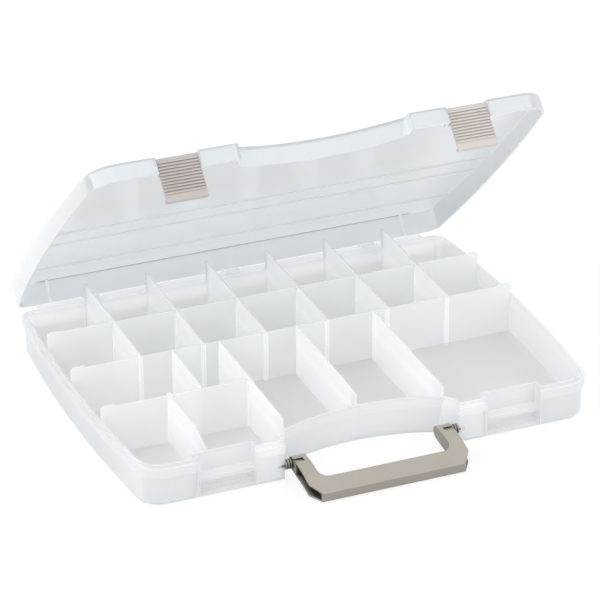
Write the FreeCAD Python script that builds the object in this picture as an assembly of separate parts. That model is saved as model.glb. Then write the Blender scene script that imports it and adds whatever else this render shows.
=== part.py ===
import FreeCAD, Part
import math
import os

# Satchel tackle box: a shallow tray of compartments, a hinged lid, two snap latches,
# a carrying handle in a recess of the front wall, and lift-out dividers.
# Millimetres. +Z is up, +X runs along the hinge, -Y is the front (handle) side.
# The origin is the centre of the tray's underside. The lid is written at its display
# angle; every other piece is written where it sits in use.

Vector = FreeCAD.Vector
X_AXIS = Vector(1, 0, 0)
Y_AXIS = Vector(0, 1, 0)
Z_AXIS = Vector(0, 0, 1)

# Overall size
HALF_WIDTH = 220.5
DEPTH = 325.0
HEIGHT_FRONT = 52.0
HEIGHT_BACK = 59.5
WALL = 2.0
FLOOR = 2.0

# Plan outline: each side bows outwards along one large arc
SIDE_RADIUS = 1617.0
WIDEST_DEPTH = 175.0
FRONT_CORNER = 25.0
BACK_CORNER = 13.0

# Heights on the tray
RIM_BOTTOM = 28.0
RIM_TOP = 36.0
LIP_TOP = 39.5
LIP_REAR_END = 298.0
RIM_OUTSET = 2.8
BOTTOM_FILLET = 3.0
PARTING_GAP = 0.2

# Handle recess in the front wall; its rear wall is an arc that leans forward
RECESS_HALF_WIDTH = 82.2
RECESS_INNER_HALF_WIDTH = 74.5
RECESS_STRAIGHT_DEPTH = 12.0
RECESS_SIDE_DEPTH = 22.0
RECESS_DEPTH = 43.0
RECESS_RADIUS = 195.0
RECESS_LEAN = 8.0 / 39.0

# Latch pockets in the front wall
POCKET_INNER_X = 109.0
POCKET_OUTER_X = 160.6
POCKET_CENTRE_X = (POCKET_INNER_X + POCKET_OUTER_X) / 2
POCKET_DEPTH = 11.8
POCKET_FLOOR = 5.0
POCKET_EDGE_RIB = 2.0
CATCH_FRONT = 6.2
CATCH_BOTTOM = 13.8
CATCH_FACE_TOP = 17.5
CATCH_TOP = 21.0

# Latches
LATCH_WIDTH = 37.6
LATCH_SIDE_GAP = 0.8
LATCH_PIVOT_DEPTH = 5.6
LATCH_BARREL_RADIUS = 3.0
LATCH_PIVOT_HEIGHT = HEIGHT_FRONT - 1.7 - LATCH_BARREL_RADIUS
LATCH_THICKNESS = 2.0
LATCH_BOTTOM = 10.6
LATCH_HOOK_TOP = CATCH_BOTTOM - 0.2
LATCH_HOOK_DEPTH = 8.4
LATCH_PIN_RADIUS = 1.5
LATCH_PIN_REACH = 2.6
LATCH_RIDGES = 11
LATCH_RIDGE_HEIGHT = 0.9
LID_POCKET_DEPTH = 9.0

# Lid hinge: knuckles behind the back wall, below the rim
HINGE_OFFSET = 3.6
HINGE_HEIGHT = 26.0
HINGE_RADIUS = 3.0
HINGE_PEG_RADIUS = 1.6
HINGE_STATIONS = (-140.0, 0.0, 140.0)
LID_KNUCKLE_LENGTH = 16.0
TRAY_KNUCKLE_LENGTH = 9.0
KNUCKLE_GAP = 0.4
PEG_REACH = 6.0
RUNNING_CLEARANCE = 0.05
WEB_CLEARANCE = 0.6
HINGE_RAIL_HALF_LENGTH = 195.0
HINGE_RAIL_BACK = 7.4
HINGE_RAIL_BOTTOM = 31.0
HINGE_RAIL_SWEEP = 10.4
LID_DISPLAY_ANGLE = 44.0

# Handle, written with its grip lowered to the table in front of the box
HANDLE_PIVOT_DEPTH = 5.0
HANDLE_PIVOT_HEIGHT = 14.0
HANDLE_HUB_RADIUS = 6.0
HANDLE_HALF_WIDTH = 74.8
HANDLE_FRONT = -46.0
HANDLE_CORNER_CUT = 8.5
HANDLE_CORNER_LENGTH = 13.0
HANDLE_GRIP_DEPTH = 17.5
HANDLE_ARM_WIDTH = 13.0
HANDLE_SKIN = 1.6
HANDLE_GROOVE_DEPTH = 8.5
HANDLE_PIN_RADIUS = 2.5
HANDLE_INNER_CORNER = 9.0
HANDLE_CORNER_RADIUS = 1.5
HANDLE_EDGE_BEVEL = 0.8
HANDLE_NOTCH = (-3.5, 1.5)
HANDLE_NOTCH_DROP = 1.6
HANDLE_BOSS_RADIUS = 4.4
HANDLE_BOSS_NECK = 3.6
HANDLE_BOSS_RIBS = 3
HANDLE_BOSS_RIB_SHARE = 0.6
HANDLE_BOSS_GAP = 0.2
# Side view of the handle: depth, underside height and top height at each station
HANDLE_PROFILE = (
    (5.0, 8.0, 20.0),
    (-4.5, 6.5, 19.6),
    (-8.0, 6.0, 19.4),
    (-21.0, 4.3, 17.2),
    (-34.0, 1.6, 13.2),
    (-44.0, 0.5, 9.9),
    (HANDLE_FRONT + HANDLE_EDGE_BEVEL, 0.5, 9.6),
    (HANDLE_FRONT, 0.5 + HANDLE_EDGE_BEVEL, 9.6 - HANDLE_EDGE_BEVEL),
)
# Stations of that view between which each arm is a channel
HANDLE_CHANNEL = HANDLE_PROFILE[1:6]

# Compartment walls (moulded with the tray) and lift-out dividers
ROOM_UNDER_LID = 0.5
SWING_ROOM = 4.5
RECESS_WALL_STEP_DEPTH = 23.0
DIVIDER_TAB_HEIGHT = 2.0
BACK_DIVIDER_TAB_HEIGHT = 0.8
DIVIDER_TAB_LENGTH = 12.0
DIVIDER_TAB_ROUND = 4.0
DIVIDER_THICKNESS = 1.6
DIVIDER_SIDE_GAP = 0.2
DIVIDER_END_GAP = 0.3
THIN_WALL = 1.6
COLUMN_WALLS = (-150.0, -90.0, -30.0, 30.0, 90.0, 150.0)
BACK_ROW_DEPTH = 243.0
MIDDLE_ROW_DEPTH = 175.0
FRONT_ROW_DEPTH = 101.0
COLUMN_WALL_FRONT = MIDDLE_ROW_DEPTH - 3.0
RECESS_WALL_X = 75.3
LEFT_FRONT_WALL_X = -150.0
LEFT_MIDDLE_WALL_X = -120.0
SLOT_RIB = 1.2
SLOT_RIB_TOP = 50.0
SIDE_RIB_TOP = 38.0

# Stiffening ribs under the lid panel
LID_RIB_DEPTHS = (174.0, 178.0, 206.0, 210.0, 278.0, 282.0)
LID_RIB_HEIGHT = 1.2
LID_RIB_WIDTH = 1.2
LID_GUSSET_X = 180.0
LID_GUSSET_WIDTH = 2.0
LID_GUSSET_REACH = 5.0
LID_GROOVE_HALF_LENGTH = 190.0
LID_GROOVE_WIDTH = 1.0
LID_GROOVE_DEPTH = 0.8

TALL = 200.0
WIDE = 300.0


def from_front(depth):
    """Y of a plane this far behind the tray's front face."""
    return depth - DEPTH / 2


def panel_top(depth):
    """Height of the closed lid's panel, which rises towards the hinge."""
    return HEIGHT_FRONT + (HEIGHT_BACK - HEIGHT_FRONT) * depth / DEPTH


def wall_top(depth):
    """Height of what stands under the closed lid's ribs."""
    return panel_top(depth) - WALL - LID_RIB_HEIGHT - ROOM_UNDER_LID


def box(x0, x1, depth0, depth1, z0, z1):
    """Upright block between two X, two depths behind the front face, and two heights."""
    corner = Vector(x0, from_front(depth0), z0)
    return Part.makeBox(x1 - x0, depth1 - depth0, z1 - z0, corner)


def rod(radius, x0, x1, depth, z):
    """Cylinder along X."""
    return Part.makeCylinder(radius, x1 - x0, Vector(x0, from_front(depth), z), X_AXIS)


def side_x(depth, inset):
    """Half-width of the plan outline at a depth, with the side wall moved inwards."""
    radius = SIDE_RADIUS - inset
    offset = depth - WIDEST_DEPTH
    return HALF_WIDTH - SIDE_RADIUS + math.sqrt(radius ** 2 - offset ** 2)


def outline_prism(inset, z0, z1):
    """Plan outline as a solid: straight front and back, bowed sides, round corners."""
    front = inset
    back = DEPTH - inset
    y_front = from_front(front)
    y_back = from_front(back)
    y_wide = from_front(WIDEST_DEPTH)
    front_right = Vector(side_x(front, inset), y_front, z0)
    back_right = Vector(side_x(back, inset), y_back, z0)
    back_left = Vector(-back_right.x, y_back, z0)
    front_left = Vector(-front_right.x, y_front, z0)
    right = Vector(HALF_WIDTH - inset, y_wide, z0)
    left = Vector(inset - HALF_WIDTH, y_wide, z0)
    edges = [
        Part.makeLine(front_left, front_right),
        Part.Arc(front_right, right, back_right).toShape(),
        Part.makeLine(back_right, back_left),
        Part.Arc(back_left, left, front_left).toShape(),
    ]
    prism = Part.Face(Part.Wire(edges)).extrude(Vector(0, 0, z1 - z0))
    for radius, y_corner in ((FRONT_CORNER, y_front), (BACK_CORNER, y_back)):
        prism = prism.makeFillet(radius - inset, upright_edges_at(prism, y_corner))
    return prism


def upright_edges_at(solid, y):
    """Straight vertical edges of a solid that lie on the plane of this Y."""
    edges = []
    for edge in solid.Edges:
        ends = [vertex.Point for vertex in edge.Vertexes]
        if len(ends) == 2 and all(abs(end.y - y) < 0.01 for end in ends):
            if abs(ends[0].x - ends[1].x) < 0.01:
                edges.append(edge)
    return edges


def recess_void(shrink):
    """Space of the handle recess, with every wall moved into the recess by shrink."""
    plan = [
        (-RECESS_HALF_WIDTH + shrink, -TALL),
        (-RECESS_HALF_WIDTH + shrink, RECESS_STRAIGHT_DEPTH),
        (-RECESS_INNER_HALF_WIDTH + shrink, RECESS_SIDE_DEPTH),
        (-RECESS_INNER_HALF_WIDTH + shrink, 2 * RECESS_DEPTH),
    ]
    plan += [(-x, depth) for x, depth in reversed(plan)]
    corners = [Vector(x, from_front(depth), -1) for x, depth in plan]
    sides = Part.Face(Part.makePolygon(corners + corners[:1])).extrude(Vector(0, 0, TALL))
    centre = Vector(0, from_front(RECESS_DEPTH - RECESS_RADIUS + RECESS_LEAN), -1)
    rear = Part.Face(Part.Wire(Part.makeCircle(RECESS_RADIUS - shrink, centre)))
    leaning = rear.extrude(Vector(0, -RECESS_LEAN * TALL, TALL))
    return sides.common(leaning)


def pocket_void(inner_x, outer_x, depth, z0):
    """Space of both latch pockets."""
    pockets = [
        box(inner_x, outer_x, -TALL, depth, z0, TALL),
        box(-outer_x, -inner_x, -TALL, depth, z0, TALL),
    ]
    return pockets[0].fuse(pockets[1])


def tray_shell():
    """Outer wall, floor, thick rim band and the locating lip, which stops short of the back."""
    body = outline_prism(RIM_OUTSET, 0, LIP_TOP)
    underside = [edge for edge in body.Edges if edge.BoundBox.ZMax < 0.01]
    body = body.makeFillet(BOTTOM_FILLET, underside)
    body = body.cut(box(-WIDE, WIDE, LIP_REAR_END, DEPTH, RIM_TOP, TALL))
    body = body.fuse(outline_prism(0, RIM_BOTTOM, RIM_TOP)).cut(recess_void(0))
    body = body.cut(pocket_void(POCKET_INNER_X, POCKET_OUTER_X, POCKET_DEPTH, POCKET_FLOOR))
    inside = outline_prism(RIM_OUTSET + WALL, FLOOR, TALL)
    inside = inside.cut(recess_void(-WALL))
    thick_pocket = pocket_void(
        POCKET_INNER_X - WALL, POCKET_OUTER_X + WALL, POCKET_DEPTH + WALL, FLOOR - 1)
    return body.cut(inside.cut(thick_pocket))


def pocket_details():
    """Edge ribs and the catch ledge of each latch pocket."""
    solids = []
    for side in (-1, 1):
        for x in (POCKET_INNER_X - POCKET_EDGE_RIB, POCKET_OUTER_X):
            edges = sorted((side * x, side * (x + POCKET_EDGE_RIB)))
            solids.append(box(edges[0], edges[1], 0, RIM_OUTSET + 1, BOTTOM_FILLET, RIM_BOTTOM + 1))
        profile = [
            (CATCH_FRONT, CATCH_BOTTOM),
            (POCKET_DEPTH + 1, CATCH_BOTTOM),
            (POCKET_DEPTH + 1, CATCH_TOP),
            (CATCH_FRONT, CATCH_FACE_TOP),
        ]
        x0, x1 = sorted((side * (POCKET_INNER_X - 1), side * (POCKET_OUTER_X + 1)))
        solids.append(bar_along_x(profile, x0, x1))
    return solids


def bar_along_x(profile, x0, x1):
    """Bar along X whose cross-section is a polygon of (depth, height) points."""
    points = [Vector(x0, from_front(depth), z) for depth, z in profile]
    return Part.Face(Part.makePolygon(points + points[:1])).extrude(Vector(x1 - x0, 0, 0))


def above_panel(drop):
    """Space above a plane that lies this far below the closed lid's panel."""
    before = -TALL
    behind = DEPTH + TALL
    profile = [
        (before, panel_top(before) - drop),
        (behind, panel_top(behind) - drop),
        (behind, 2 * TALL),
        (before, 2 * TALL),
    ]
    return bar_along_x(profile, -WIDE, WIDE)


def compartment_walls():
    """Front-to-back walls moulded into the tray, sloped on top like the lid."""
    half = THIN_WALL / 2
    back = DEPTH - RIM_OUTSET - WALL + 1
    walls = [box(x - half, x + half, COLUMN_WALL_FRONT, back, 1, TALL) for x in COLUMN_WALLS]
    rear_end = MIDDLE_ROW_DEPTH - DIVIDER_THICKNESS / 2 - DIVIDER_SIDE_GAP - SLOT_RIB
    for x in (-RECESS_WALL_X, 0.0, RECESS_WALL_X):
        walls.append(box(x - half, x + half, RECESS_SIDE_DEPTH, rear_end, 1, TALL))
    front_end = FRONT_ROW_DEPTH + DIVIDER_THICKNESS / 2 + DIVIDER_SIDE_GAP + SLOT_RIB
    x = LEFT_MIDDLE_WALL_X
    walls.append(box(x - half, x + half, front_end, rear_end, 1, TALL))
    walls.append(left_front_wall(front_end + 1))
    inner_x = RECESS_WALL_X - THIN_WALL
    swing = recess_void(-SWING_ROOM).common(box(-inner_x, inner_x, 0, DEPTH, LIP_TOP + 1, TALL))
    step = box(-inner_x - WALL, inner_x + WALL, 0, RECESS_WALL_STEP_DEPTH, LIP_TOP + 1, TALL)
    above = above_panel(panel_top(0) - wall_top(0))
    outside = recess_void(0).fuse([swing, step, above])
    return [wall.cut(outside) for wall in walls]


def left_front_wall(rear_depth):
    """Wall behind the left latch pocket, sloped at the front to clear the lid's pocket."""
    front = POCKET_DEPTH + WALL - 0.5
    slope = 24.0
    profile = [
        (front, 1),
        (rear_depth, 1),
        (rear_depth, wall_top(front + slope)),
        (front + slope, wall_top(front + slope)),
        (front, LIP_TOP + 1),
    ]
    x = LEFT_FRONT_WALL_X
    return bar_along_x(profile, x - THIN_WALL / 2, x + THIN_WALL / 2)


def slot(wall_x, side, depth, top):
    """Pair of upright ribs on one face of a wall that hold the end of a divider."""
    face = wall_x + side * (THIN_WALL / 2 - 0.4)
    tip = wall_x + side * (THIN_WALL / 2 + SLOT_RIB)
    x0, x1 = sorted((face, tip))
    near = DIVIDER_THICKNESS / 2 + DIVIDER_SIDE_GAP
    return [
        box(x0, x1, depth + near, depth + near + SLOT_RIB, 1, top),
        box(x0, x1, depth - near - SLOT_RIB, depth - near, 1, top),
    ]


def divider_slots():
    """Every divider slot of the tray."""
    ribs = []
    for depth in (BACK_ROW_DEPTH, MIDDLE_ROW_DEPTH):
        for x in COLUMN_WALLS:
            for side in (-1, 1):
                ribs += slot(x, side, depth, SLOT_RIB_TOP)
    for side in (-1, 1):
        ribs += slot(LEFT_FRONT_WALL_X, side, FRONT_ROW_DEPTH, SLOT_RIB_TOP)
    ribs += slot(-RECESS_WALL_X, -1, FRONT_ROW_DEPTH, SLOT_RIB_TOP)
    for side, depth in outer_divider_ends():
        wall_x = side * (side_x(depth, RIM_OUTSET + WALL) + THIN_WALL / 2)
        ribs += slot(wall_x, -side, depth, SIDE_RIB_TOP)
    return ribs


def outer_divider_ends():
    """Side and depth of each divider that ends at a side wall of the tray."""
    return [
        (-1, BACK_ROW_DEPTH),
        (1, BACK_ROW_DEPTH),
        (-1, MIDDLE_ROW_DEPTH),
        (1, MIDDLE_ROW_DEPTH),
        (-1, FRONT_ROW_DEPTH),
    ]


def tray_knuckles():
    """Knuckle pairs on the tray's back edge, each bored for the lid's pegs."""
    axis = DEPTH + HINGE_OFFSET
    solids = []
    bores = []
    for centre in HINGE_STATIONS:
        for side in (-1, 1):
            near = LID_KNUCKLE_LENGTH / 2 + KNUCKLE_GAP
            x0, x1 = sorted((centre + side * near, centre + side * (near + TRAY_KNUCKLE_LENGTH)))
            web = [
                (DEPTH - RIM_OUTSET - 1, HINGE_HEIGHT - 3 * HINGE_RADIUS),
                (axis, HINGE_HEIGHT - HINGE_RADIUS),
                (axis, HINGE_HEIGHT + HINGE_RADIUS),
                (DEPTH - 1, RIM_TOP - 1),
            ]
            solids.append(rod(HINGE_RADIUS, x0, x1, axis, HINGE_HEIGHT))
            solids.append(bar_along_x(web, x0, x1))
            bore_end = sorted((centre + side * near, centre + side * (near + PEG_REACH + 0.5)))
            bore_radius = HINGE_PEG_RADIUS + RUNNING_CLEARANCE
            bores.append(rod(bore_radius, bore_end[0], bore_end[1], axis, HINGE_HEIGHT))
    return solids, bores


def hinge_rail():
    """Ledge behind the rim that the open lid's skirt hangs over, clear of its swing."""
    axis = DEPTH + HINGE_OFFSET
    half = HINGE_RAIL_HALF_LENGTH
    back = DEPTH + HINGE_RAIL_BACK
    ledge = box(-half, half, DEPTH - 1, back, HINGE_RAIL_BOTTOM, RIM_TOP)
    ledge = ledge.common(rod(HINGE_RAIL_SWEEP, -half, half, axis, HINGE_HEIGHT))
    near = LID_KNUCKLE_LENGTH / 2 + KNUCKLE_GAP
    gaps = [box(x - near, x + near, DEPTH, DEPTH + TALL, 0, TALL) for x in HINGE_STATIONS]
    return ledge.cut(Part.makeCompound(gaps))


def tray():
    """Tray with its walls, divider slots, latch catches, hinge knuckles and handle bores."""
    knuckles, bores = tray_knuckles()
    shell = tray_shell()
    pieces = pocket_details() + compartment_walls() + divider_slots() + knuckles
    pieces.append(hinge_rail())
    solid = shell.multiFuse(pieces)
    radius = HANDLE_PIN_RADIUS + RUNNING_CLEARANCE
    reach = RECESS_HALF_WIDTH + 3 * WALL
    bores.append(rod(radius, -reach, reach, HANDLE_PIVOT_DEPTH, HANDLE_PIVOT_HEIGHT))
    return solid.cut(Part.makeCompound(bores)).removeSplitter()


def lid_shell():
    """Lid panel and skirt, closed on the tray."""
    bottom = RIM_TOP + PARTING_GAP
    body = outline_prism(0, bottom, TALL).cut(above_panel(0))
    panel = max(body.Faces, key=lambda face: face.CenterOfMass.z)
    body = body.makeFillet(BOTTOM_FILLET, panel.Edges)
    void_x0 = POCKET_CENTRE_X - LATCH_WIDTH / 2 - LATCH_SIDE_GAP
    void_x1 = POCKET_CENTRE_X + LATCH_WIDTH / 2 + LATCH_SIDE_GAP
    body = body.cut(recess_void(RIM_OUTSET))
    body = body.cut(pocket_void(void_x0, void_x1, LID_POCKET_DEPTH, 0))
    inside = outline_prism(WALL, bottom - 1, TALL).cut(above_panel(WALL))
    inside = inside.cut(recess_void(RIM_OUTSET - WALL))
    inside = inside.cut(pocket_void(void_x0 - WALL, void_x1 + WALL, LID_POCKET_DEPTH + WALL, 0))
    return body.cut(inside)


def lid_ribs():
    """Long stiffening ribs under the panel and short gussets inside the back skirt."""
    half = LID_RIB_WIDTH / 2
    ribs = []
    for depth in LID_RIB_DEPTHS:
        reach = side_x(depth, WALL) + 0.5
        under = panel_top(depth) - WALL - LID_RIB_HEIGHT
        ribs.append(box(-reach, reach, depth - half, depth + half, under, panel_top(depth) - 1))
    inner = DEPTH - WALL
    gusset = [
        (inner + 0.5, RIM_TOP + 1),
        (inner + 0.5, panel_top(inner) - 1),
        (inner - LID_GUSSET_REACH, panel_top(inner) - 1),
        (inner - 0.5, LIP_TOP + 2),
        (inner - 0.5, RIM_TOP + 1),
    ]
    half = LID_GUSSET_WIDTH / 2
    for x in (-LID_GUSSET_X, LID_GUSSET_X):
        ribs.append(bar_along_x(gusset, x - half, x + half))
    return ribs


def lid_groove():
    """Groove in the corner between the panel and the back skirt."""
    inner = DEPTH - WALL
    under = panel_top(inner) - WALL
    half = LID_GROOVE_HALF_LENGTH
    return box(-half, half, inner - LID_GROOVE_WIDTH, inner, under - 1, under + LID_GROOVE_DEPTH)


def lid_knuckles():
    """Lid half of the hinge: a knuckle and a web at each station, with a peg at both ends."""
    axis = DEPTH + HINGE_OFFSET
    solids = []
    for centre in HINGE_STATIONS:
        x0 = centre - LID_KNUCKLE_LENGTH / 2
        x1 = centre + LID_KNUCKLE_LENGTH / 2
        web = [
            (DEPTH + WEB_CLEARANCE, HINGE_HEIGHT),
            (axis + HINGE_RADIUS, HINGE_HEIGHT),
            (axis + HINGE_RADIUS, RIM_TOP + HINGE_RADIUS),
            (DEPTH - 1, RIM_TOP + 4 * HINGE_RADIUS),
            (DEPTH - 1, RIM_TOP + PARTING_GAP),
            (DEPTH + WEB_CLEARANCE, RIM_TOP + PARTING_GAP),
        ]
        solids.append(rod(HINGE_RADIUS, x0, x1, axis, HINGE_HEIGHT))
        solids.append(bar_along_x(web, x0, x1))
        peg_x0 = x0 - PEG_REACH
        peg_x1 = x1 + PEG_REACH
        solids.append(rod(HINGE_PEG_RADIUS, peg_x0, peg_x1, axis, HINGE_HEIGHT))
    return solids


def lid():
    """Lid with its ribs, hinge knuckles and latch pivot bores, swung to its display angle."""
    solid = lid_shell().cut(lid_groove()).multiFuse(lid_ribs() + lid_knuckles())
    bores = []
    for side in (-1, 1):
        centre = side * POCKET_CENTRE_X
        reach = LATCH_WIDTH / 2 + LATCH_SIDE_GAP + WALL + 1
        radius = LATCH_PIN_RADIUS + RUNNING_CLEARANCE
        bores.append(rod(
            radius, centre - reach, centre + reach, LATCH_PIVOT_DEPTH, LATCH_PIVOT_HEIGHT))
    solid = solid.cut(Part.makeCompound(bores)).removeSplitter()
    return open_lid(solid)


def open_lid(shape):
    """Turn a shape with the lid from closed to the display angle."""
    turned = shape.copy()
    centre = Vector(0, from_front(DEPTH + HINGE_OFFSET), HINGE_HEIGHT)
    turned.rotate(centre, X_AXIS, -LID_DISPLAY_ANGLE)
    return turned


def latch(centre_x):
    """Snap latch: pivot barrel, ridged finger plate, lip and inward hook."""
    x0 = centre_x - LATCH_WIDTH / 2
    x1 = centre_x + LATCH_WIDTH / 2
    outer = LATCH_PIVOT_DEPTH - LATCH_BARREL_RADIUS
    inner = outer + LATCH_THICKNESS
    plate = [
        (outer, LATCH_PIVOT_HEIGHT),
        (outer, LATCH_BOTTOM + 1),
        (outer + 1, LATCH_BOTTOM),
        (LATCH_HOOK_DEPTH - 1.5, LATCH_BOTTOM),
        (LATCH_HOOK_DEPTH, LATCH_HOOK_TOP - 1),
        (LATCH_HOOK_DEPTH, LATCH_HOOK_TOP),
        (inner, LATCH_HOOK_TOP),
        (inner, LATCH_PIVOT_HEIGHT),
    ]
    solids = [bar_along_x(plate, x0, x1)]
    barrel = rod(LATCH_BARREL_RADIUS, x0, x1, LATCH_PIVOT_DEPTH, LATCH_PIVOT_HEIGHT)
    pin_x0 = x0 - LATCH_PIN_REACH
    pin_x1 = x1 + LATCH_PIN_REACH
    pins = rod(LATCH_PIN_RADIUS, pin_x0, pin_x1, LATCH_PIVOT_DEPTH, LATCH_PIVOT_HEIGHT)
    ridge_low = LATCH_BOTTOM + 6.5
    ridge_high = LATCH_PIVOT_HEIGHT + 0.5
    pitch = (ridge_high - ridge_low) / LATCH_RIDGES
    for index in range(LATCH_RIDGES):
        z = ridge_low + index * pitch
        ridge = [
            (outer + 0.3, z),
            (outer - LATCH_RIDGE_HEIGHT, z + 0.15 * pitch),
            (outer - LATCH_RIDGE_HEIGHT, z + 0.65 * pitch),
            (outer + 0.3, z + 0.8 * pitch),
        ]
        solids.append(bar_along_x(ridge, x0, x1))
    return barrel.multiFuse(solids + [pins]).removeSplitter()


def handle_side_view(stations, skin):
    """Side outline of the handle through some of its stations, moved inwards by skin."""
    under = [(depth, low + skin) for depth, low, top in stations]
    over = [(depth, top - skin) for depth, low, top in stations]
    return under + over[::-1]


def handle_plan():
    """Plan of the handle as a tall solid: two arms and a grip, with chamfered outer corners."""
    front = from_front(HANDLE_FRONT)
    rear = from_front(HANDLE_PIVOT_DEPTH) + 3 * HANDLE_HUB_RADIUS
    outer = [
        (HANDLE_HALF_WIDTH, rear),
        (HANDLE_HALF_WIDTH, front + HANDLE_CORNER_LENGTH),
        (HANDLE_HALF_WIDTH - HANDLE_CORNER_CUT, front),
    ]
    outer += [(-x, y) for x, y in reversed(outer)]
    arm_inner = HANDLE_HALF_WIDTH - HANDLE_ARM_WIDTH
    grip_inner = front + HANDLE_GRIP_DEPTH
    inner = [(arm_inner, rear + 1), (arm_inner, grip_inner)]
    inner += [(-x, y) for x, y in reversed(inner)]
    opening = flat_prism(inner, -1, TALL + 2)
    opening = opening.makeFillet(HANDLE_INNER_CORNER, upright_edges_at(opening, grip_inner))
    plan = flat_prism(outer, 0, TALL)
    corners = upright_edges_at(plan, front) + upright_edges_at(plan, front + HANDLE_CORNER_LENGTH)
    return plan.makeFillet(HANDLE_CORNER_RADIUS, corners).cut(opening)


def handle_pins():
    """Pin and ribbed stub at the end of each arm."""
    web = HANDLE_HALF_WIDTH - HANDLE_GROOVE_DEPTH
    stub_end = RECESS_HALF_WIDTH - HANDLE_BOSS_GAP
    pitch = (stub_end - HANDLE_HALF_WIDTH) / HANDLE_BOSS_RIBS
    rib = HANDLE_BOSS_RIB_SHARE * pitch
    solids = []
    for side in (-1, 1):
        spans = [(HANDLE_PIN_RADIUS, web, RECESS_HALF_WIDTH + WALL)]
        spans.append((HANDLE_BOSS_NECK, web, stub_end))
        for index in range(HANDLE_BOSS_RIBS):
            end = HANDLE_HALF_WIDTH + (index + 1) * pitch
            spans.append((HANDLE_BOSS_RADIUS, end - rib, end))
        for radius, near, far in spans:
            x0, x1 = sorted((side * near, side * far))
            solids.append(rod(radius, x0, x1, HANDLE_PIVOT_DEPTH, HANDLE_PIVOT_HEIGHT))
    return solids


def handle():
    """Carrying handle: two channel-section arms, a grip with a solid face, and two pins."""
    side_view = bar_along_x(handle_side_view(HANDLE_PROFILE, 0), -WIDE, WIDE)
    hub = rod(HANDLE_HUB_RADIUS, -WIDE, WIDE, HANDLE_PIVOT_DEPTH, HANDLE_PIVOT_HEIGHT)
    frame = handle_plan().common(side_view.fuse(hub))
    channel = handle_side_view(HANDLE_CHANNEL, HANDLE_SKIN)
    web = HANDLE_HALF_WIDTH - HANDLE_GROOVE_DEPTH
    notch_top = HANDLE_PIVOT_HEIGHT + HANDLE_HUB_RADIUS - HANDLE_NOTCH_DROP
    notch = (*HANDLE_NOTCH, notch_top, TALL)
    cuts = []
    for side in (-1, 1):
        x0, x1 = sorted((side * web, side * WIDE))
        cuts.append(bar_along_x(channel, x0, x1))
        cuts.append(box(x0, x1, *notch))
    return frame.cut(Part.makeCompound(cuts)).multiFuse(handle_pins()).removeSplitter()


def flat_prism(points, z0, height):
    """Prism standing on a polygon of (x, y) points."""
    corners = [Vector(x, y, z0) for x, y in points]
    return Part.Face(Part.makePolygon(corners + corners[:1])).extrude(Vector(0, 0, height))


def divider(x0, x1, depth, tabs, tab_height=DIVIDER_TAB_HEIGHT):
    """Lift-out divider between two X, with a raised rounded tab at the ends in tabs."""
    low = FLOOR + 0.2
    tab_top = wall_top(depth)
    top = tab_top - tab_height
    ramp = DIVIDER_TAB_LENGTH + tab_height
    blank = [(x0, low), (x1, low)]
    if 1 in tabs:
        blank += [(x1, tab_top), (x1 - DIVIDER_TAB_LENGTH, tab_top), (x1 - ramp, top)]
    else:
        blank += [(x1, top)]
    if -1 in tabs:
        blank += [(x0 + ramp, top), (x0 + DIVIDER_TAB_LENGTH, tab_top), (x0, tab_top)]
    else:
        blank += [(x0, top)]
    y = from_front(depth - DIVIDER_THICKNESS / 2)
    points = [Vector(x, y, z) for x, z in blank]
    plate = Part.Face(Part.makePolygon(points + points[:1])).extrude(
        Vector(0, DIVIDER_THICKNESS, 0))
    if tabs:
        rounded = []
        for edge in plate.Edges:
            ends = [vertex.Point for vertex in edge.Vertexes]
            at_tab = all(abs(end.z - tab_top) < 0.01 for end in ends)
            across = abs(ends[0].x - ends[1].x) < 0.01
            outer_end = min(abs(ends[0].x - x0), abs(ends[0].x - x1)) < 0.01
            if at_tab and across and outer_end:
                rounded.append(edge)
        plate = plate.makeFillet(DIVIDER_TAB_ROUND, rounded)
    return plate


def divider_row(row, depth, tab_height):
    """Seven dividers, one per column, from the left side wall to the right one."""
    wall_gap = THIN_WALL / 2 + DIVIDER_END_GAP
    end_x = side_x(depth, RIM_OUTSET + WALL) - DIVIDER_END_GAP - 0.4
    starts = [-end_x] + [x + wall_gap for x in COLUMN_WALLS]
    ends = [x - wall_gap for x in COLUMN_WALLS] + [end_x]
    pieces = {}
    for index, (x0, x1) in enumerate(zip(starts, ends)):
        tabs = []
        if index == 0:
            tabs.append(-1)
        if index == len(starts) - 1:
            tabs.append(1)
        pieces[f"divider_{row}_{index + 1}"] = divider(x0, x1, depth, tabs, tab_height)
    return pieces


def front_dividers():
    """Two dividers of the left-hand front compartments."""
    depth = FRONT_ROW_DEPTH
    gap = THIN_WALL / 2 + DIVIDER_END_GAP
    end_x = side_x(depth, RIM_OUTSET + WALL) - DIVIDER_END_GAP - 0.4
    return {
        "divider_front_1": divider(-end_x, LEFT_FRONT_WALL_X - gap, depth, [-1]),
        "divider_front_2": divider(LEFT_FRONT_WALL_X + gap, -RECESS_WALL_X - gap, depth, []),
    }


def build():
    """Every node of the model by name."""
    nodes = {
        "tray": tray(),
        "lid": lid(),
        "latch_left": open_lid(latch(-POCKET_CENTRE_X)),
        "latch_right": open_lid(latch(POCKET_CENTRE_X)),
        "handle": handle(),
    }
    nodes.update(divider_row("back", BACK_ROW_DEPTH, BACK_DIVIDER_TAB_HEIGHT))
    nodes.update(divider_row("middle", MIDDLE_ROW_DEPTH, DIVIDER_TAB_HEIGHT))
    nodes.update(front_dividers())
    return nodes


os.makedirs("parts", exist_ok=True)
for node, shape in build().items():
    shape.exportStep(os.path.join("parts", node + ".step"))
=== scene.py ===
import math

import bpy
from mathutils import Matrix, Vector

# A clear satchel tackle box on a white table. Metres, in the frame's own axes:
# +Z up, +X along the lid's hinge, -Y towards the carrying handle.

MM = 0.001

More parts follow.
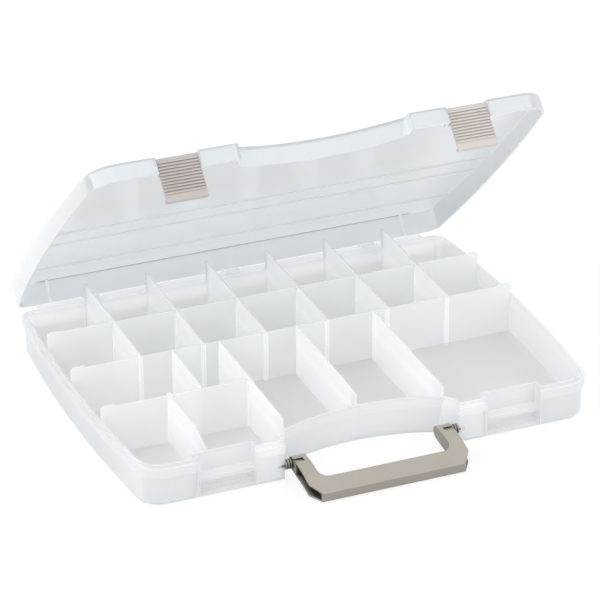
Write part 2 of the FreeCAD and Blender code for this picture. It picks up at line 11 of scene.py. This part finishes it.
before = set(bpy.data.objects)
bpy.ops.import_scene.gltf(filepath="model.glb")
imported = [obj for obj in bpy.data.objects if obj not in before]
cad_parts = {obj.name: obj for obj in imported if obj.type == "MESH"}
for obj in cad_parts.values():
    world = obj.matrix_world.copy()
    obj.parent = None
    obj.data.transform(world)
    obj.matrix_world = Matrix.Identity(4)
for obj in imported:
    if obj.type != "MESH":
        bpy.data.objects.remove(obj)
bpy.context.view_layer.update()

# Directions that stand upright on the tray, and on the lid as it stands open
LID_ANGLE = math.radians(44.0)
TRAY_UP = (0.0, 0.0, 1.0)
LID_UP = (0.0, math.sin(LID_ANGLE), math.cos(LID_ANGLE))
LID_FRONT = (0.0, math.cos(LID_ANGLE), -math.sin(LID_ANGLE))

# Spans over which painted light or painted shade fades on the tray, along Y
BEHIND_FRONT_WALL = (-147 * MM, -118 * MM)
BEFORE_BACK_WALL = (150 * MM, 156 * MM)
FRONT_FACES = (-150 * MM, -147 * MM)
BACK_WALL_INSIDE = (155.5 * MM, 156.5 * MM)
BACK_WALL_MIDDLE = (158.5 * MM, 159.0 * MM)
RECESS_REAR = (-116.5 * MM, -115.5 * MM)
# The same along X
LEFT_FACE = (-214 * MM, -208 * MM)
# The same along X, by distance from the middle on either side
RECESS_SIDE = (73.5 * MM, 74.5 * MM)
LATCH_POCKET_EDGE = (105 * MM, 112 * MM)
SIDE_WALL = (203 * MM, 210 * MM)
# The same in height, for the dividers too; the rim's is by distance from its middle
WALL_HEIGHTS = (5 * MM, 45 * MM)
DIVIDER_HEIGHTS = (5 * MM, 50 * MM)
RIM_MIDDLE = 32 * MM
RIM_EDGE = (4.0 * MM, 4.6 * MM)

# The lid's hinge line and the groove inside the open lid: where each is, how far the hinge's
# painted glow and the groove's painted dark line reach, and where the groove ends to left and
# right
HINGE_Y = 166.1 * MM
HINGE_Z = 26.0 * MM
HINGE_REACH = (5 * MM, 11 * MM)
GROOVE_Y = 183.87 * MM
GROOVE_Z = 53.18 * MM
GROOVE_REACH = (0.8 * MM, 1.7 * MM)
GROOVE_END = (188 * MM, 192 * MM)

# Cosines between which a face turns from running along a direction to lying across it
FACE_TURN = (0.25, 0.75)

# Painted glow in the clear plastic, an emission standing in for light scattered inside it; a
# pair runs upwards from the foot, and a share is what is left of the walls' painted glow there
EDGE_LIGHT = 0.29
WALL_LIGHT = (0.125, 0.12)
RIM_LIGHT = 0.03
FLOOR_LIGHT = 0.065
SIDE_WALL_SHARE = 0.15
RECESS_SHARE = 0.5
DIVIDER_LIGHT = (0.115, 0.085)
SKIRT_LIGHT = 0.13
PANEL_LIGHT = 0.28
PANEL_SLANT = (0.2, 0.6)
HINGE_LIGHT = 0.25

# Painted shade on the clear plastic, and the share of the front's painted shade that is left
# between the latches
FRONT_SHADE = 0.15
FRONT_MIDDLE_SHARE = 0.1
LEFT_SHADE = 0.17
RECESS_SHADE = 0.05
BACK_SHADE = 0.15
SKIRT_SHADE = 0.20
TOP_SHADE = 0.20
GROOVE_SHADE = 0.75

# Colours of the clear plastic: warm on level faces and cooler on upright ones, a painted light
# colour for the differing light each gets; cooler in the lid
WARM_TINT = (0.97, 0.965, 0.955, 1.0)
COOL_TINT = (0.945, 0.958, 0.968, 1.0)
COLD_TINT = (0.940, 0.965, 0.985, 1.0)
SHADE_TINT = (0.46, 0.49, 0.53, 1.0)
CLEAR_TINT = (0.985, 0.99, 0.99, 1.0)

# How the clear plastic scatters: its milk, its haze at a slant and along edges, its gloss
MILK_TRANSLUCENCY = 0.45
SLANT_BLEND = 0.35
SLANT_HAZE = 0.9
EDGE_HAZE = 0.92
CLOUDINESS = 0.012
CLOUD_RANGE = (0.3, 0.7)
PLASTIC_IOR = 1.45
SATIN = (0.21, 0.25)
POLISHED = (0.03, 0.05)

# Surface detail: radius of the softened edges, scale and detail of each noise, grain depth
CLEAR_EDGE = 0.6 * MM
CLEAR_EDGE_RANGE = (0.75, 0.99)
CLEAR_CLOUD = (14.0, 3.0)
CLEAR_GRAIN = (900.0, 2.0)
CLEAR_GRAIN_DEPTH = 0.02 * MM
TAUPE_EDGE = 0.5 * MM
TAUPE_EDGE_RANGE = (0.80, 0.99)
TAUPE_PATCHES = (30.0, 3.0)
TAUPE_PATCH_RANGE = (0.25, 0.75)
TAUPE_GRAIN = (1400.0, 3.0)
TAUPE_GRAIN_DEPTH = 0.03 * MM

# How the taupe plastic varies from patch to patch: how pale its edges turn, its tone and its
# gloss
PALE_EDGE_PATCH_RANGE = (0.3, 0.6)
EDGE_PALING = (0.35, 0.9)
TAUPE_TONES = (0.96, 1.04)
TAUPE_ROUGHNESS = (0.40, 0.52)
# Sheen of the taupe plastic; the occlusion of an open face, where the painted shade of creases
# ends; and the X to left and right where the latches' painted tones hold
TAUPE_SPECULAR = 0.35
OPEN_SURFACE = 0.95
LATCH_X = 140 * MM

# Table: how far it lies below the box, its paint, and how strongly it glows for the camera,
# seen directly and through clear plastic
TABLE_SIZE = 12.0
TABLE_GAP = 0.4 * MM
TABLE_PAINT = (0.86, 0.86, 0.86, 1.0)
TABLE_LIGHT = 1.05
TABLE_GLOW = 0.75
VEILED_TABLE_GLOW = 0.50

# Camera: where it looks, from which side, and how it is held
CAMERA_TARGET = Vector((-6.1, -12.5, 89.6)) * MM
CAMERA_AZIMUTH = math.radians(22.56)
CAMERA_ELEVATION = math.radians(26.90)
CAMERA_ROLL = math.radians(-0.27)
CAMERA_DISTANCE = 2.882
CAMERA_LENS = 194.0
CAMERA_SENSOR = 36.0
CAMERA_REACH = 50.0

# White room around the table, and two soft boxes: place, size and power
ROOM_COLOUR = (0.98, 0.99, 1.0, 1.0)
ROOM_HEIGHTS = (0.0, 0.9)
WALLS_LIGHT = 1.36
CEILING_LIGHT = 0.82
LIGHT_TARGET = (0.0, 0.0, 0.1)
KEY_LIGHT = ((-1.6, -0.6, 2.0), 3.2, 24.0)
FILL_LIGHT = ((1.4, -1.8, 1.2), 2.0, 8.0)


# ---------------------------------------------------------------- node helpers

def new_material(name):
    """Empty node material, its node tree and its output socket."""
    material = bpy.data.materials.new(name)
    material.use_nodes = True
    tree = material.node_tree
    tree.nodes.clear()
    output = tree.nodes.new("ShaderNodeOutputMaterial")
    return material, tree, output.inputs["Surface"]


def node(tree, kind, **settings):
    """Adds a node; a setting is an attribute of the node or one of its input sockets."""
    made = tree.nodes.new("ShaderNode" + kind)
    for key, value in settings.items():
        if hasattr(made, key):
            setattr(made, key, value)
        else:
            made.inputs[key.replace("_", " ")].default_value = value
    return made


def math_node(tree, operation, first, second):
    """Result socket of a two-input maths node; each input is a number or a socket."""
    made = tree.nodes.new("ShaderNodeMath")
    made.operation = operation
    for index, value in enumerate((first, second)):
        if isinstance(value, (int, float)):
            made.inputs[index].default_value = value
        else:
            tree.links.new(value, made.inputs[index])
    return made.outputs[0]


def product(tree, *factors):
    """Product of two or more factors, each a number or a socket."""
    result = factors[0]
    for factor in factors[1:]:
        result = math_node(tree, "MULTIPLY", result, factor)
    return result


def greatest(tree, *values):
    """Greatest of two or more values, each a number or a socket."""
    result = values[0]
    for value in values[1:]:
        result = math_node(tree, "MAXIMUM", result, value)
    return result


def total(tree, *values):
    """Sum of two or more terms, each a number or a socket."""
    result = values[0]
    for value in values[1:]:
        result = math_node(tree, "ADD", result, value)
    return result


def magnitude(tree, value):
    """Size of a socket's value, without its sign."""
    return math_node(tree, "ABSOLUTE", value, 0.0)


def ramp(tree, value, low, high, out_low, out_high):
    """Maps a socket from one range of numbers to another, and holds it at the ends."""
    made = tree.nodes.new("ShaderNodeMapRange")
    made.inputs["From Min"].default_value = low
    made.inputs["From Max"].default_value = high
    made.inputs["To Min"].default_value = out_low
    made.inputs["To Max"].default_value = out_high
    tree.links.new(value, made.inputs["Value"])
    return made.outputs["Result"]


def mix_shaders(tree, factor, first, second):
    """Blend of two shader sockets; factor is a number or a socket."""
    made = tree.nodes.new("ShaderNodeMixShader")
    if isinstance(factor, (int, float)):
        made.inputs[0].default_value = factor
    else:
        tree.links.new(factor, made.inputs[0])
    tree.links.new(first, made.inputs[1])
    tree.links.new(second, made.inputs[2])
    return made.outputs[0]


def mix_colours(tree, factor, first, second):
    """Blend of two colours by a socket."""
    made = tree.nodes.new("ShaderNodeMix")
    made.data_type = "RGBA"
    made.inputs["A"].default_value = first
    made.inputs["B"].default_value = second
    tree.links.new(factor, made.inputs["Factor"])
    return made.outputs["Result"]


def noise(tree, scale, detail):
    """Noise over the piece's own coordinates, from 0 to 1."""
    place = tree.nodes.new("ShaderNodeTexCoord")
    made = tree.nodes.new("ShaderNodeTexNoise")
    made.inputs["Scale"].default_value = scale
    made.inputs["Detail"].default_value = detail
    tree.links.new(place.outputs["Object"], made.inputs["Vector"])
    return made.outputs["Fac"]


def surface_normal(tree, edge_radius, height, depth):
    """Normal with softened edges, alone and with a moulded texture from a height socket."""
    bevel = tree.nodes.new("ShaderNodeBevel")
    bevel.samples = 4
    bevel.inputs["Radius"].default_value = edge_radius
    bump = tree.nodes.new("ShaderNodeBump")
    bump.inputs["Distance"].default_value = depth
    bump.inputs["Strength"].default_value = 1.0
    tree.links.new(height, bump.inputs["Height"])
    tree.links.new(bevel.outputs["Normal"], bump.inputs["Normal"])
    return bevel.outputs["Normal"], bump.outputs["Normal"]


def edge_mask(tree, soft_normal, low, high):
    """1 along the softened edges, 0 on flat faces."""
    geometry = tree.nodes.new("ShaderNodeNewGeometry")
    dot = tree.nodes.new("ShaderNodeVectorMath")
    dot.operation = "DOT_PRODUCT"
    tree.links.new(geometry.outputs["Normal"], dot.inputs[0])
    tree.links.new(soft_normal, dot.inputs[1])
    return ramp(tree, dot.outputs["Value"], low, high, 1.0, 0.0)


def place_along(tree, axis):
    """One of the piece's own coordinates: X, Y or Z."""
    place = tree.nodes.new("ShaderNodeTexCoord")
    split = tree.nodes.new("ShaderNodeSeparateXYZ")
    tree.links.new(place.outputs["Object"], split.inputs[0])
    return split.outputs[axis]


def distance_from(tree, centre_y, centre_z):
    """Distance from a line along X."""
    across = math_node(tree, "SUBTRACT", place_along(tree, "Y"), centre_y)
    above = math_node(tree, "SUBTRACT", place_along(tree, "Z"), centre_z)
    squares = [math_node(tree, "POWER", offset, 2.0) for offset in (across, above)]
    return math_node(tree, "SQRT", total(tree, *squares), 0.0)


def facing_along(tree, direction):
    """Cosine between a face's normal and a direction of the piece."""
    place = tree.nodes.new("ShaderNodeTexCoord")
    dot = tree.nodes.new("ShaderNodeVectorMath")
    dot.operation = "DOT_PRODUCT"
    dot.inputs[1].default_value = direction
    tree.links.new(place.outputs["Normal"], dot.inputs[0])
    return dot.outputs["Value"]


def upright_faces(tree, up):
    """1 on faces of a piece that run along a direction, 0 on those across it."""
    return ramp(tree, magnitude(tree, facing_along(tree, up)), *FACE_TURN, 1.0, 0.0)


def creases(tree, reach, closed, darkest):
    """Painted shade: 1 in the open, falling to darkest where grooves and hollows are this
    closed.
    """
    occlusion = tree.nodes.new("ShaderNodeAmbientOcclusion")
    occlusion.samples = 8
    occlusion.only_local = True
    occlusion.inputs["Distance"].default_value = reach
    return ramp(tree, occlusion.outputs["AO"], closed, OPEN_SURFACE, darkest, 1.0)


# ---------------------------------------------------------------- painted light and shade by place

def in_recess(tree):
    """1 on the curved wall behind the handle, else 0."""
    beside = ramp(tree, magnitude(tree, place_along(tree, "X")), *RECESS_SIDE, 1.0, 0.0)
    before = ramp(tree, place_along(tree, "Y"), *RECESS_REAR, 1.0, 0.0)
    return product(tree, beside, before)


def hinge_light(tree):
    """Painted glow that lightens the short knuckles of the hinge and their webs."""
    return ramp(tree, distance_from(tree, HINGE_Y, HINGE_Z), *HINGE_REACH, HINGE_LIGHT, 0.0)


def tray_light(tree):
    """Painted glow in the tray's plastic: a base glow everywhere, more in its compartment walls
    and rim, and most in its hinge knuckles.
    """
    across = magnitude(tree, place_along(tree, "X"))
    along = place_along(tree, "Y")
    height = place_along(tree, "Z")
    walls = product(
        tree,
        ramp(tree, height, *WALL_HEIGHTS, *WALL_LIGHT),
        ramp(tree, along, *BEHIND_FRONT_WALL, 0.0, 1.0),
        ramp(tree, along, *BEFORE_BACK_WALL, 1.0, 0.0),
        ramp(tree, across, *SIDE_WALL, 1.0, SIDE_WALL_SHARE),
        ramp(tree, in_recess(tree), 0.0, 1.0, 1.0, RECESS_SHARE),
        upright_faces(tree, TRAY_UP),
    )
    off_middle = magnitude(tree, math_node(tree, "SUBTRACT", height, RIM_MIDDLE))
    rim = ramp(tree, off_middle, *RIM_EDGE, RIM_LIGHT, 0.0)
    return total(tree, walls, rim, FLOOR_LIGHT, hinge_light(tree))


def tray_shade(tree):
    """Painted shade on the tray's front, left and curved outer faces and on its back wall's
    inside.
    """
    across = magnitude(tree, place_along(tree, "X"))
    along = place_along(tree, "Y")
    front = product(
        tree,
        ramp(tree, along, *FRONT_FACES, FRONT_SHADE, 0.0),
        ramp(tree, across, *LATCH_POCKET_EDGE, FRONT_MIDDLE_SHARE, 1.0),
    )
    left = ramp(tree, place_along(tree, "X"), *LEFT_FACE, LEFT_SHADE, 0.0)
    recess = product(tree, in_recess(tree), RECESS_SHADE)
    back = product(
        tree,
        ramp(tree, along, *BACK_WALL_INSIDE, 0.0, BACK_SHADE),
        ramp(tree, along, *BACK_WALL_MIDDLE, 1.0, 0.0),
    )
    return product(tree, greatest(tree, front, left, recess, back), upright_faces(tree, TRAY_UP))


def top_of_lid(tree):
    """1 on the top of the lid's panel, 0 on its skirts and on its inside."""
    return ramp(tree, facing_along(tree, LID_UP), *FACE_TURN, 0.0, 1.0)


def lid_light(tree):
    """Painted glow in the lid's plastic: in its hinge knuckles, and from inside in its panel
    where seen at a slant and in its skirts.
    """
    along = upright_faces(tree, LID_FRONT)
    facing = node(tree, "LayerWeight", Blend=SLANT_BLEND)
    slant = ramp(tree, facing.outputs["Facing"], *PANEL_SLANT, 0.0, PANEL_LIGHT)
    skirts = ramp(tree, along, 0.0, 1.0, SKIRT_LIGHT, 0.0)
    inside = ramp(tree, top_of_lid(tree), 0.0, 1.0, 1.0, 0.0)
    held = product(tree, total(tree, product(tree, along, slant), skirts), inside)
    return total(tree, hinge_light(tree), held)


def lid_shade(tree):
    """Painted shade on the lid's top and skirts, and a painted dark line between its panel and
    back skirt.
    """
    near = ramp(tree, distance_from(tree, GROOVE_Y, GROOVE_Z), *GROOVE_REACH, GROOVE_SHADE, 0.0)
    within = ramp(tree, magnitude(tree, place_along(tree, "X")), *GROOVE_END, 1.0, 0.0)
    crosswise = math_node(tree, "SUBTRACT", 1.0, upright_faces(tree, LID_FRONT))
    skirts = product(tree, crosswise, SKIRT_SHADE)
    top = product(tree, top_of_lid(tree), TOP_SHADE)
    return greatest(tree, product(tree, near, within), skirts, top)


def divider_light(tree):
    """Painted glow in a divider, a little stronger towards its foot."""
    return ramp(tree, place_along(tree, "Z"), *DIVIDER_HEIGHTS, *DIVIDER_LIGHT)


def no_shade(tree):
    """Shade of a piece that carries none."""
    return 0.0


# ---------------------------------------------------------------- materials

def milk(tree, tint, normal, strength):
    """Milky body that scatters light, lets some through and glows with painted light of its own.
    """
    diffuse = node(tree, "BsdfDiffuse")
    through = node(tree, "BsdfTranslucent")
    for scatter in (diffuse, through):
        tree.links.new(tint, scatter.inputs["Color"])
        tree.links.new(normal, scatter.inputs["Normal"])
    scattered = mix_shaders(tree, MILK_TRANSLUCENCY, diffuse.outputs[0], through.outputs[0])
    # Painted glow: an emission in the plastic's own tint, as strong as the painted light given
    # here
    glow = node(tree, "Emission")
    tree.links.new(tint, glow.inputs["Color"])
    tree.links.new(strength, glow.inputs["Strength"])
    lit = tree.nodes.new("ShaderNodeAddShader")
    tree.links.new(scattered, lit.inputs[0])
    tree.links.new(glow.outputs[0], lit.inputs[1])
    return lit.outputs[0]


def haze(tree, clear, cloud, edge):
    """How much of the view the milk hides: more at a slant and along edges."""
    facing = node(tree, "LayerWeight", Blend=SLANT_BLEND)
    slant = ramp(tree, facing.outputs["Facing"], 0.0, 1.0, 1.0 - clear, SLANT_HAZE)
    clouded = total(tree, slant, ramp(tree, cloud, *CLOUD_RANGE, -CLOUDINESS, CLOUDINESS))
    return greatest(tree, clouded, product(tree, edge, EDGE_HAZE))


def gloss_coat(tree, body, cloud, normal, roughness, shine):
    """Body shader under a glossy skin that mirrors more at a slant."""
    gloss = node(tree, "BsdfAnisotropic", Color=(1.0, 1.0, 1.0, 1.0))
    tree.links.new(ramp(tree, cloud, *CLOUD_RANGE, *roughness), gloss.inputs["Roughness"])
    tree.links.new(normal, gloss.inputs["Normal"])
    fresnel = node(tree, "Fresnel", IOR=PLASTIC_IOR)
    tree.links.new(normal, fresnel.inputs["Normal"])
    return mix_shaders(tree, product(tree, fresnel.outputs[0], shine), body, gloss.outputs[0])


def milky_plastic(name, tints, clear, roughness, shine, light, shade):
    """Translucent polypropylene: lets part of the view through, glows with painted light along
    its edges, and takes painted glow and painted shade by place.
    """
    material, tree, surface = new_material(name)
    cloud = noise(tree, *CLEAR_CLOUD)
    grain = noise(tree, *CLEAR_GRAIN)
    soft, normal = surface_normal(tree, CLEAR_EDGE, grain, CLEAR_GRAIN_DEPTH)
    edge = edge_mask(tree, soft, *CLEAR_EDGE_RANGE)
    # Painted light colour: level faces warm, upright faces cooler, for the differing light each
    # gets
    tint = mix_colours(tree, upright_faces(tree, TRAY_UP), *tints)
    # Painted glow by place, and a painted highlight glowing along the softened edges
    strength = total(tree, light(tree), product(tree, edge, EDGE_LIGHT))
    see_through = node(tree, "BsdfTransparent", Color=CLEAR_TINT)
    body = mix_shaders(tree, haze(tree, clear, cloud, edge), see_through.outputs[0],
                       milk(tree, tint, normal, strength))
    coated = gloss_coat(tree, body, cloud, normal, roughness, shine)
    # Painted shade: a dark matt diffuse mixed in where the shade mask asks for it
    shadow = node(tree, "BsdfDiffuse", Color=SHADE_TINT)
    tree.links.new(mix_shaders(tree, shade(tree), coated, shadow.outputs[0]), surface)
    return material


def taupe_plastic(name, colour, pale_edge_colour, groove, across, flank_tone):
    """Opaque warm grey plastic: fine moulded grain, paler edges, painted shade in grooves and
    hollows.

    groove gives the reach, closedness and darkest tone of the painted shade in its creases;
    across gives the painted light at the left and at the right latch, for the differing light on
    them;
    flank_tone is the painted shade tone of its upright faces, which get less light.
    """
    material, tree, surface = new_material(name)
    grain = noise(tree, *TAUPE_GRAIN)
    patches = noise(tree, *TAUPE_PATCHES)
    soft, normal = surface_normal(tree, TAUPE_EDGE, grain, TAUPE_GRAIN_DEPTH)
    edge = edge_mask(tree, soft, *TAUPE_EDGE_RANGE)
    pale_edges = product(tree, edge, ramp(tree, patches, *PALE_EDGE_PATCH_RANGE, *EDGE_PALING))
    tone = tree.nodes.new("ShaderNodeHueSaturation")
    tree.links.new(mix_colours(tree, pale_edges, colour, pale_edge_colour), tone.inputs["Color"])
    # Tone: random patches of the plastic's own, times painted shade in creases, painted light
    # from left to right, and painted shade on upright faces
    value = product(
        tree,
        ramp(tree, patches, *TAUPE_PATCH_RANGE, *TAUPE_TONES),
        creases(tree, *groove),
        ramp(tree, place_along(tree, "X"), -LATCH_X, LATCH_X, *across),
        ramp(tree, upright_faces(tree, TRAY_UP), 0.0, 1.0, 1.0, flank_tone),
    )
    tree.links.new(value, tone.inputs["Value"])
    shader = node(tree, "BsdfPrincipled")
    shader.inputs["Specular IOR Level"].default_value = TAUPE_SPECULAR
    roughness = ramp(tree, patches, *TAUPE_PATCH_RANGE, *TAUPE_ROUGHNESS)
    tree.links.new(tone.outputs["Color"], shader.inputs["Base Color"])
    tree.links.new(roughness, shader.inputs["Roughness"])
    tree.links.new(normal, shader.inputs["Normal"])
    tree.links.new(shader.outputs[0], surface)
    return material


def white_table(name):
    """Matt white sweep, lit from within so that it stays almost free of shadow."""
    material, tree, surface = new_material(name)
    paint = node(tree, "BsdfDiffuse", Color=TABLE_PAINT)
    light = node(tree, "Emission", Color=(1.0, 1.0, 1.0, 1.0), Strength=TABLE_LIGHT)
    ray = tree.nodes.new("ShaderNodeLightPath")
    depth = ray.outputs["Transparent Depth"]
    veil = ramp(tree, depth, 0.0, 1.0, TABLE_GLOW, VEILED_TABLE_GLOW)
    glow = product(tree, ray.outputs["Is Camera Ray"], veil)
    tree.links.new(mix_shaders(tree, glow, paint.outputs[0], light.outputs[0]), surface)
    return material


def plastics():
    """Material and record slot for each kind of piece."""
    tray = milky_plastic("milky_tray", tints=(WARM_TINT, COOL_TINT), clear=0.46,
                         roughness=SATIN, shine=0.7, light=tray_light, shade=tray_shade)
    lid = milky_plastic("milky_lid", tints=(COLD_TINT, COLD_TINT), clear=0.40,
                        roughness=POLISHED, shine=1.0, light=lid_light, shade=lid_shade)
    sheet = milky_plastic("milky_sheet", tints=(COOL_TINT, COOL_TINT), clear=0.48,
                          roughness=SATIN, shine=0.7, light=divider_light, shade=no_shade)
    # Painted shade in the handle's creases and on its upright faces; painted shade in the
    # latches' creases, and the right latch painted lighter than the left
    handle = taupe_plastic("taupe_handle", colour=(0.40, 0.366, 0.316, 1.0),
                           pale_edge_colour=(0.50, 0.455, 0.40, 1.0),
                           groove=(11 * MM, 0.45, 0.07), across=(1.0, 1.0), flank_tone=0.72)
    latch = taupe_plastic("taupe_latch", colour=(0.50, 0.455, 0.43, 1.0),
                          pale_edge_colour=(0.60, 0.57, 0.555, 1.0),
                          groove=(1.6 * MM, 0.25, 0.5), across=(0.96, 1.2), flank_tone=1.0)
    return {
        "tray": (tray, "clear_shell"),
        "lid": (lid, "clear_shell"),
        "divider": (sheet, "clear_divider"),
        "handle": (handle, "taupe_plastic"),
        "latch": (latch, "taupe_plastic"),
    }


def dress_all():
    """Gives every CAD piece its plastic; the first word of its name says what it is."""
    kinds = plastics()
    for name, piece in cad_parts.items():
        material, slot = kinds[name.split("_")[0]]
        piece.data.materials.clear()
        piece.data.materials.append(material)


# ---------------------------------------------------------------- stage

def add_floor():
    """White table top, a hair below the box so that the two faces never coincide."""
    bpy.ops.mesh.primitive_plane_add(size=TABLE_SIZE, location=(0, 0, -TABLE_GAP))
    floor = bpy.context.object
    floor.name = "table_top"
    floor.data.materials.append(white_table("white_table"))


def add_area_light(name, place, size, power):
    """Square soft box aimed at the box."""
    data = bpy.data.lights.new(name, "AREA")
    data.shape = "SQUARE"
    data.size = size
    data.energy = power
    lamp = bpy.data.objects.new(name, data)
    lamp.location = place
    aim = Vector(LIGHT_TARGET) - Vector(place)
    lamp.rotation_euler = aim.to_track_quat("-Z", "Y").to_euler()
    bpy.context.scene.collection.objects.link(lamp)


def add_lights():
    """White surroundings and two soft boxes, the stronger one from above on the left."""
    world = bpy.data.worlds.new("white_room")
    world.use_nodes = True
    tree = world.node_tree
    background = tree.nodes["Background"]
    background.inputs["Color"].default_value = ROOM_COLOUR
    direction = tree.nodes.new("ShaderNodeTexCoord")
    height = tree.nodes.new("ShaderNodeSeparateXYZ")
    tree.links.new(direction.outputs["Generated"], height.inputs[0])
    strength = ramp(tree, height.outputs["Z"], *ROOM_HEIGHTS, WALLS_LIGHT, CEILING_LIGHT)
    tree.links.new(strength, background.inputs["Strength"])
    bpy.context.scene.world = world
    add_area_light("key", *KEY_LIGHT)
    add_area_light("fill", *FILL_LIGHT)


def add_camera():
    """Long lens from the front left, a little above the box."""
    level = math.cos(CAMERA_ELEVATION)
    back = Vector((
        -math.sin(CAMERA_AZIMUTH) * level,
        -math.cos(CAMERA_AZIMUTH) * level,
        math.sin(CAMERA_ELEVATION),
    ))
    right = Vector((math.cos(CAMERA_AZIMUTH), -math.sin(CAMERA_AZIMUTH), 0.0))
    up = back.cross(right)
    turn = Matrix.Rotation(CAMERA_ROLL, 3, back)
    right = turn @ right
    up = turn @ up
    data = bpy.data.cameras.new("camera")
    data.lens = CAMERA_LENS
    data.sensor_width = CAMERA_SENSOR
    data.clip_end = CAMERA_REACH
    camera = bpy.data.objects.new("camera", data)
    pose = Matrix((right, up, back)).transposed().to_4x4()
    pose.translation = CAMERA_TARGET + back * CAMERA_DISTANCE
    camera.matrix_world = pose
    bpy.context.scene.collection.objects.link(camera)
    bpy.context.scene.camera = camera


dress_all()
add_floor()
add_lights()
add_camera()
bpy.context.scene.view_settings.view_transform = "Standard"
